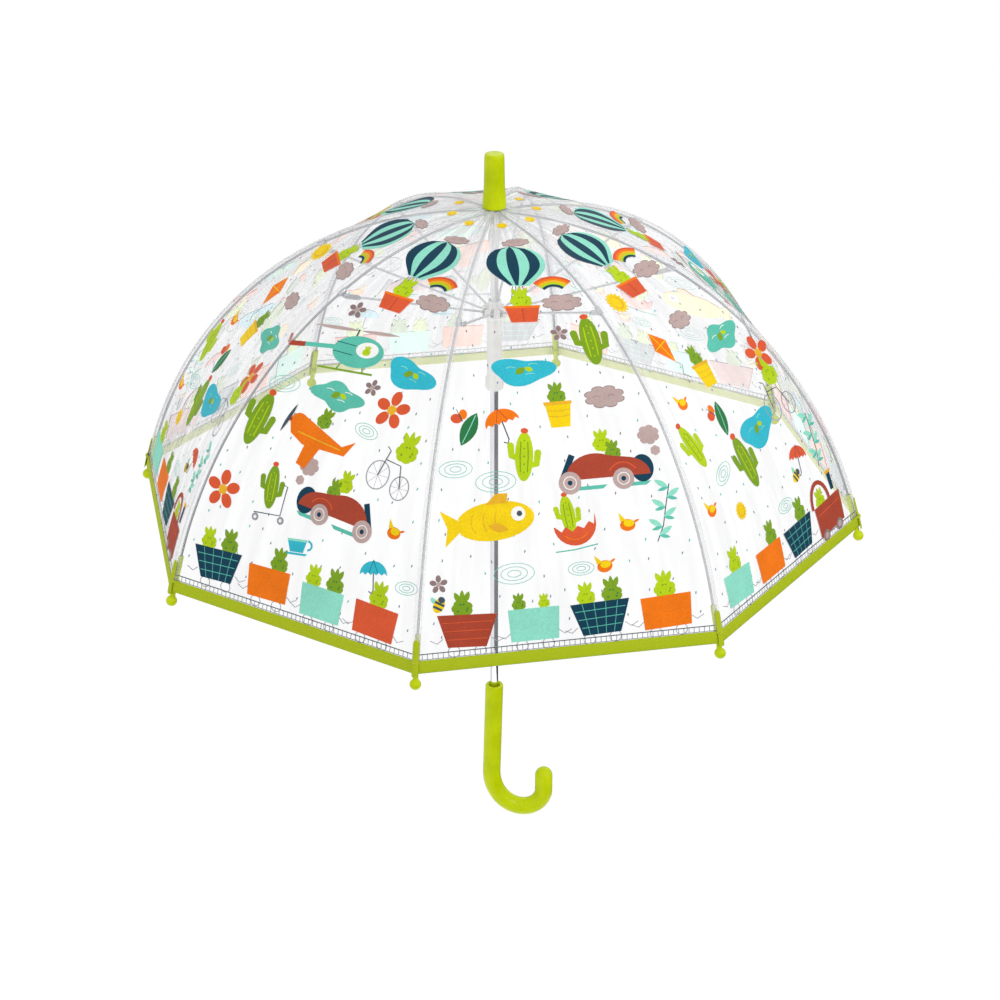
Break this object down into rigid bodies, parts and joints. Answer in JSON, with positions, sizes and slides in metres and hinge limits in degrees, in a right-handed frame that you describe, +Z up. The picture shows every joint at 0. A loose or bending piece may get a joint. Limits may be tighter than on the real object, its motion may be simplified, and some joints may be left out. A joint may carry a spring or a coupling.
{
  "type": "children's umbrella",
  "caption": "Open bubble umbrella for a child: clear printed film dome on curved wire ribs, lime hem, tips, ferrule and crook handle, with a sliding runner that folds it.",
  "frame": {"origin": "on the shaft's axis, in the middle of the grip, where a hand holds it", "axes": "+Z up the shaft to the ferrule, +X towards the free end of the crook"},
  "size_m": [0.6704, 0.6704, 0.6826],
  "materials": {
    "lime_plastic": "moulded, lightly glossy",
    "lime_binding": "woven tape",
    "white_plastic": "moulded",
    "shaft_steel": "bright plated",
    "wire_steel": "drawn wire",
    "rib_steel": "drawn wire",
    "clear_film": "clear film with printed motifs"
  },
  "bodies": {
    "root": {"shaft": "shaft_steel", "handle": "lime_plastic", "ferrule": "lime_plastic", "top_notch": "white_plastic", "notch_wire": "wire_steel", "stop_pin": "wire_steel"},
    "runner": {"runner": "white_plastic", "runner_wire": "wire_steel"},
    "open_catch": {"open_catch": "wire_steel"},
    "closed_catch": {"closed_catch": "wire_steel"},
    "rib_1": {"rib_1": "rib_steel", "rib_tip_1": "lime_plastic", "rib_joint_1": "rib_steel"},
    "rib_2": {"rib_2": "rib_steel", "rib_tip_2": "lime_plastic", "rib_joint_2": "rib_steel"},
    "rib_3": {"rib_3": "rib_steel", "rib_tip_3": "lime_plastic", "rib_joint_3": "rib_steel"},
    "rib_4": {"rib_4": "rib_steel", "rib_tip_4": "lime_plastic", "rib_joint_4": "rib_steel"},
    "rib_5": {"rib_5": "rib_steel", "rib_tip_5": "lime_plastic", "rib_joint_5": "rib_steel"},
    "rib_6": {"rib_6": "rib_steel", "rib_tip_6": "lime_plastic", "rib_joint_6": "rib_steel"},
    "rib_7": {"rib_7": "rib_steel", "rib_tip_7": "lime_plastic", "rib_joint_7": "rib_steel"},
    "rib_8": {"rib_8": "rib_steel", "rib_tip_8": "lime_plastic", "rib_joint_8": "rib_steel"},
    "stretcher_1": {"stretcher_1": "rib_steel"},
    "stretcher_2": {"stretcher_2": "rib_steel"},
    "stretcher_3": {"stretcher_3": "rib_steel"},
    "stretcher_4": {"stretcher_4": "rib_steel"},
    "stretcher_5": {"stretcher_5": "rib_steel"},
    "stretcher_6": {"stretcher_6": "rib_steel"},
    "stretcher_7": {"stretcher_7": "rib_steel"},
    "stretcher_8": {"stretcher_8": "rib_steel"},
    "panel_1": {"canopy_panel_1": "clear_film"},
    "panel_2": {"canopy_panel_2": "clear_film"},
    "panel_3": {"canopy_panel_3": "clear_film"},
    "panel_4": {"canopy_panel_4": "clear_film"},
    "panel_5": {"canopy_panel_5": "clear_film"},
    "panel_6": {"canopy_panel_6": "clear_film"},
    "panel_7": {"canopy_panel_7": "clear_film"},
    "panel_8": {"canopy_panel_8": "clear_film"},
    "binding_1": {"rim_binding_1": "lime_binding"},
    "binding_2": {"rim_binding_2": "lime_binding"},
    "binding_3": {"rim_binding_3": "lime_binding"},
    "binding_4": {"rim_binding_4": "lime_binding"},
    "binding_5": {"rim_binding_5": "lime_binding"},
    "binding_6": {"rim_binding_6": "lime_binding"},
    "binding_7": {"rim_binding_7": "lime_binding"},
    "binding_8": {"rim_binding_8": "lime_binding"}
  },
  "joints": [
    {"name": "runner_slide", "type": "slide", "parent": "root", "child": "runner", "axis": [0, 0, -1], "range_m": [0, 0.187], "deforming": ["open_catch", "closed_catch", "canopy_panel_1", "canopy_panel_2", "canopy_panel_3", "canopy_panel_4", "canopy_panel_5", "canopy_panel_6", "canopy_panel_7", "canopy_panel_8", "rim_binding_1", "rim_binding_2", "rim_binding_3", "rim_binding_4", "rim_binding_5", "rim_binding_6", "rim_binding_7", "rim_binding_8"]},
    {"name": "open_catch_press", "type": "hinge", "parent": "root", "child": "open_catch", "pos_m": [0, 0.0018, 0.3077], "axis": [1, 0, 0], "range_deg": [0, 3.2], "stiffness_Nm_per_rad": 1.5},
    {"name": "closed_catch_press", "type": "hinge", "parent": "root", "child": "closed_catch", "pos_m": [0, 0.0018, 0.235], "axis": [-1, 0, 0], "range_deg": [0, 3.2], "stiffness_Nm_per_rad": 1.5},
    {"name": "rib_1_hinge", "type": "hinge", "parent": "root", "child": "rib_1", "pos_m": [0.00622, 0.00419, 0.52591], "axis": [-0.5586, 0.8294, 0], "range_deg": [0, 47.7]},
    {"name": "rib_2_hinge", "type": "hinge", "parent": "root", "child": "rib_2", "pos_m": [0.00144, 0.00736, 0.52591], "axis": [-0.9815, 0.1915, 0], "range_deg": [0, 47.7]},
    {"name": "rib_3_hinge", "type": "hinge", "parent": "root", "child": "rib_3", "pos_m": [-0.00419, 0.00622, 0.52591], "axis": [-0.8294, -0.5586, 0], "range_deg": [0, 47.7]},
    {"name": "rib_4_hinge", "type": "hinge", "parent": "root", "child": "rib_4", "pos_m": [-0.00736, 0.00144, 0.52591], "axis": [-0.1915, -0.9815, 0], "range_deg": [0, 47.7]},
    {"name": "rib_5_hinge", "type": "hinge", "parent": "root", "child": "rib_5", "pos_m": [-0.00622, -0.00419, 0.52591], "axis": [0.5586, -0.8294, 0], "range_deg": [0, 47.7]},
    {"name": "rib_6_hinge", "type": "hinge", "parent": "root", "child": "rib_6", "pos_m": [-0.00144, -0.00736, 0.52591], "axis": [0.9815, -0.1915, 0], "range_deg": [0, 47.7]},
    {"name": "rib_7_hinge", "type": "hinge", "parent": "root", "child": "rib_7", "pos_m": [0.00419, -0.00622, 0.52591], "axis": [0.8294, 0.5586, 0], "range_deg": [0, 47.7]},
    {"name": "rib_8_hinge", "type": "hinge", "parent": "root", "child": "rib_8", "pos_m": [0.00736, -0.00144, 0.52591], "axis": [0.1915, 0.9815, 0], "range_deg": [0, 47.7]},
    {"name": "stretcher_1_hinge", "type": "hinge", "parent": "runner", "child": "stretcher_1", "pos_m": [0.00664, 0.00447, 0.432], "axis": [0.5586, -0.8294, 0], "range_deg": [0, 46.1]},
    {"name": "stretcher_2_hinge", "type": "hinge", "parent": "runner", "child": "stretcher_2", "pos_m": [0.00153, 0.00785, 0.432], "axis": [0.9815, -0.1915, 0], "range_deg": [0, 46.1]},
    {"name": "stretcher_3_hinge", "type": "hinge", "parent": "runner", "child": "stretcher_3", "pos_m": [-0.00447, 0.00664, 0.432], "axis": [0.8294, 0.5586, 0], "range_deg": [0, 46.1]},
    {"name": "stretcher_4_hinge", "type": "hinge", "parent": "runner", "child": "stretcher_4", "pos_m": [-0.00785, 0.00153, 0.432], "axis": [0.1915, 0.9815, 0], "range_deg": [0, 46.1]},
    {"name": "stretcher_5_hinge", "type": "hinge", "parent": "runner", "child": "stretcher_5", "pos_m": [-0.00664, -0.00447, 0.432], "axis": [-0.5586, 0.8294, 0], "range_deg": [0, 46.1]},
    {"name": "stretcher_6_hinge", "type": "hinge", "parent": "runner", "child": "stretcher_6", "pos_m": [-0.00153, -0.00785, 0.432], "axis": [-0.9815, 0.1915, 0], "range_deg": [0, 46.1]},
    {"name": "stretcher_7_hinge", "type": "hinge", "parent": "runner", "child": "stretcher_7", "pos_m": [0.00447, -0.00664, 0.432], "axis": [-0.8294, -0.5586, 0], "range_deg": [0, 46.1]},
    {"name": "stretcher_8_hinge", "type": "hinge", "parent": "runner", "child": "stretcher_8", "pos_m": [0.00785, -0.00153, 0.432], "axis": [-0.1915, -0.9815, 0], "range_deg": [0, 46.1]},
    {"name": "panel_1_fold", "type": "hinge", "parent": "rib_1", "child": "panel_1", "pos_m": [0.00449, 0.00677, 0.52591], "axis": [0.1789, -0.9685, -0.1733], "range_deg": [0, 24.6]},
    {"name": "panel_2_fold", "type": "hinge", "parent": "rib_2", "child": "panel_2", "pos_m": [-0.00161, 0.00796, 0.52591], "axis": [0.8113, -0.5583, -0.1733], "range_deg": [0, 24.6]},
    {"name": "panel_3_fold", "type": "hinge", "parent": "rib_3", "child": "panel_3", "pos_m": [-0.00677, 0.00449, 0.52591], "axis": [0.9685, 0.1789, -0.1733], "range_deg": [0, 24.6]},
    {"name": "panel_4_fold", "type": "hinge", "parent": "rib_4", "child": "panel_4", "pos_m": [-0.00796, -0.00161, 0.52591], "axis": [0.5583, 0.8113, -0.1733], "range_deg": [0, 24.6]},
    {"name": "panel_5_fold", "type": "hinge", "parent": "rib_5", "child": "panel_5", "pos_m": [-0.00449, -0.00677, 0.52591], "axis": [-0.1789, 0.9685, -0.1733], "range_deg": [0, 24.6]},
    {"name": "panel_6_fold", "type": "hinge", "parent": "rib_6", "child": "panel_6", "pos_m": [0.00161, -0.00796, 0.52591], "axis": [-0.8113, 0.5583, -0.1733], "range_deg": [0, 24.6]},
    {"name": "panel_7_fold", "type": "hinge", "parent": "rib_7", "child": "panel_7", "pos_m": [0.00677, -0.00449, 0.52591], "axis": [-0.9685, -0.1789, -0.1733], "range_deg": [0, 24.6]},
    {"name": "panel_8_fold", "type": "hinge", "parent": "rib_8", "child": "panel_8", "pos_m": [0.00796, 0.00161, 0.52591], "axis": [-0.5583, -0.8113, -0.1733], "range_deg": [0, 24.6]},
    {"name": "binding_1_fold", "type": "hinge", "parent": "rib_2", "child": "binding_1", "pos_m": [0.00449, 0.00677, 0.52591], "axis": [0.9617, 0.2124, 0.1733], "range_deg": [0, 24.6]},
    {"name": "binding_2_fold", "type": "hinge", "parent": "rib_3", "child": "binding_2", "pos_m": [-0.00161, 0.00796, 0.52591], "axis": [0.5298, 0.8302, 0.1733], "range_deg": [0, 24.6]},
    {"name": "binding_3_fold", "type": "hinge", "parent": "rib_4", "child": "binding_3", "pos_m": [-0.00677, 0.00449, 0.52591], "axis": [-0.2124, 0.9617, 0.1733], "range_deg": [0, 24.6]},
    {"name": "binding_4_fold", "type": "hinge", "parent": "rib_5", "child": "binding_4", "pos_m": [-0.00796, -0.00161, 0.52591], "axis": [-0.8302, 0.5298, 0.1733], "range_deg": [0, 24.6]},
    {"name": "binding_5_fold", "type": "hinge", "parent": "rib_6", "child": "binding_5", "pos_m": [-0.00449, -0.00677, 0.52591], "axis": [-0.9617, -0.2124, 0.1733], "range_deg": [0, 24.6]},
    {"name": "binding_6_fold", "type": "hinge", "parent": "rib_7", "child": "binding_6", "pos_m": [0.00161, -0.00796, 0.52591], "axis": [-0.5298, -0.8302, 0.1733], "range_deg": [0, 24.6]},
    {"name": "binding_7_fold", "type": "hinge", "parent": "rib_8", "child": "binding_7", "pos_m": [0.00677, -0.00449, 0.52591], "axis": [0.2124, -0.9617, 0.1733], "range_deg": [0, 24.6]},
    {"name": "binding_8_fold", "type": "hinge", "parent": "rib_1", "child": "binding_8", "pos_m": [0.00796, 0.00161, 0.52591], "axis": [0.8302, -0.5298, 0.1733], "range_deg": [0, 24.6]}
  ],
  "couplings": [
    {"joint": "rib_1_hinge", "follows": "runner_slide", "rad_per_m": 4.4467},
    {"joint": "rib_2_hinge", "follows": "runner_slide", "rad_per_m": 4.4467},
    {"joint": "rib_3_hinge", "follows": "runner_slide", "rad_per_m": 4.4467},
    {"joint": "rib_4_hinge", "follows": "runner_slide", "rad_per_m": 4.4467},
    {"joint": "rib_5_hinge", "follows": "runner_slide", "rad_per_m": 4.4467},
    {"joint": "rib_6_hinge", "follows": "runner_slide", "rad_per_m": 4.4467},
    {"joint": "rib_7_hinge", "follows": "runner_slide", "rad_per_m": 4.4467},
    {"joint": "rib_8_hinge", "follows": "runner_slide", "rad_per_m": 4.4467},
    {"joint": "stretcher_1_hinge", "follows": "runner_slide", "rad_per_m": 4.2891},
    {"joint": "stretcher_2_hinge", "follows": "runner_slide", "rad_per_m": 4.2891},
    {"joint": "stretcher_3_hinge", "follows": "runner_slide", "rad_per_m": 4.2891},
    {"joint": "stretcher_4_hinge", "follows": "runner_slide", "rad_per_m": 4.2891},
    {"joint": "stretcher_5_hinge", "follows": "runner_slide", "rad_per_m": 4.2891},
    {"joint": "stretcher_6_hinge", "follows": "runner_slide", "rad_per_m": 4.2891},
    {"joint": "stretcher_7_hinge", "follows": "runner_slide", "rad_per_m": 4.2891},
    {"joint": "stretcher_8_hinge", "follows": "runner_slide", "rad_per_m": 4.2891},
    {"joint": "panel_1_fold", "follows": "runner_slide", "rad_per_m": 2.2841},
    {"joint": "panel_2_fold", "follows": "runner_slide", "rad_per_m": 2.2841},
    {"joint": "panel_3_fold", "follows": "runner_slide", "rad_per_m": 2.2841},
    {"joint": "panel_4_fold", "follows": "runner_slide", "rad_per_m": 2.2841},
    {"joint": "panel_5_fold", "follows": "runner_slide", "rad_per_m": 2.2841},
    {"joint": "panel_6_fold", "follows": "runner_slide", "rad_per_m": 2.2841},
    {"joint": "panel_7_fold", "follows": "runner_slide", "rad_per_m": 2.2841},
    {"joint": "panel_8_fold", "follows": "runner_slide", "rad_per_m": 2.2841},
    {"joint": "binding_1_fold", "follows": "runner_slide", "rad_per_m": 2.2841},
    {"joint": "binding_2_fold", "follows": "runner_slide", "rad_per_m": 2.2841},
    {"joint": "binding_3_fold", "follows": "runner_slide", "rad_per_m": 2.2841},
    {"joint": "binding_4_fold", "follows": "runner_slide", "rad_per_m": 2.2841},
    {"joint": "binding_5_fold", "follows": "runner_slide", "rad_per_m": 2.2841},
    {"joint": "binding_6_fold", "follows": "runner_slide", "rad_per_m": 2.2841},
    {"joint": "binding_7_fold", "follows": "runner_slide", "rad_per_m": 2.2841},
    {"joint": "binding_8_fold", "follows": "runner_slide", "rad_per_m": 2.2841}
  ]
}
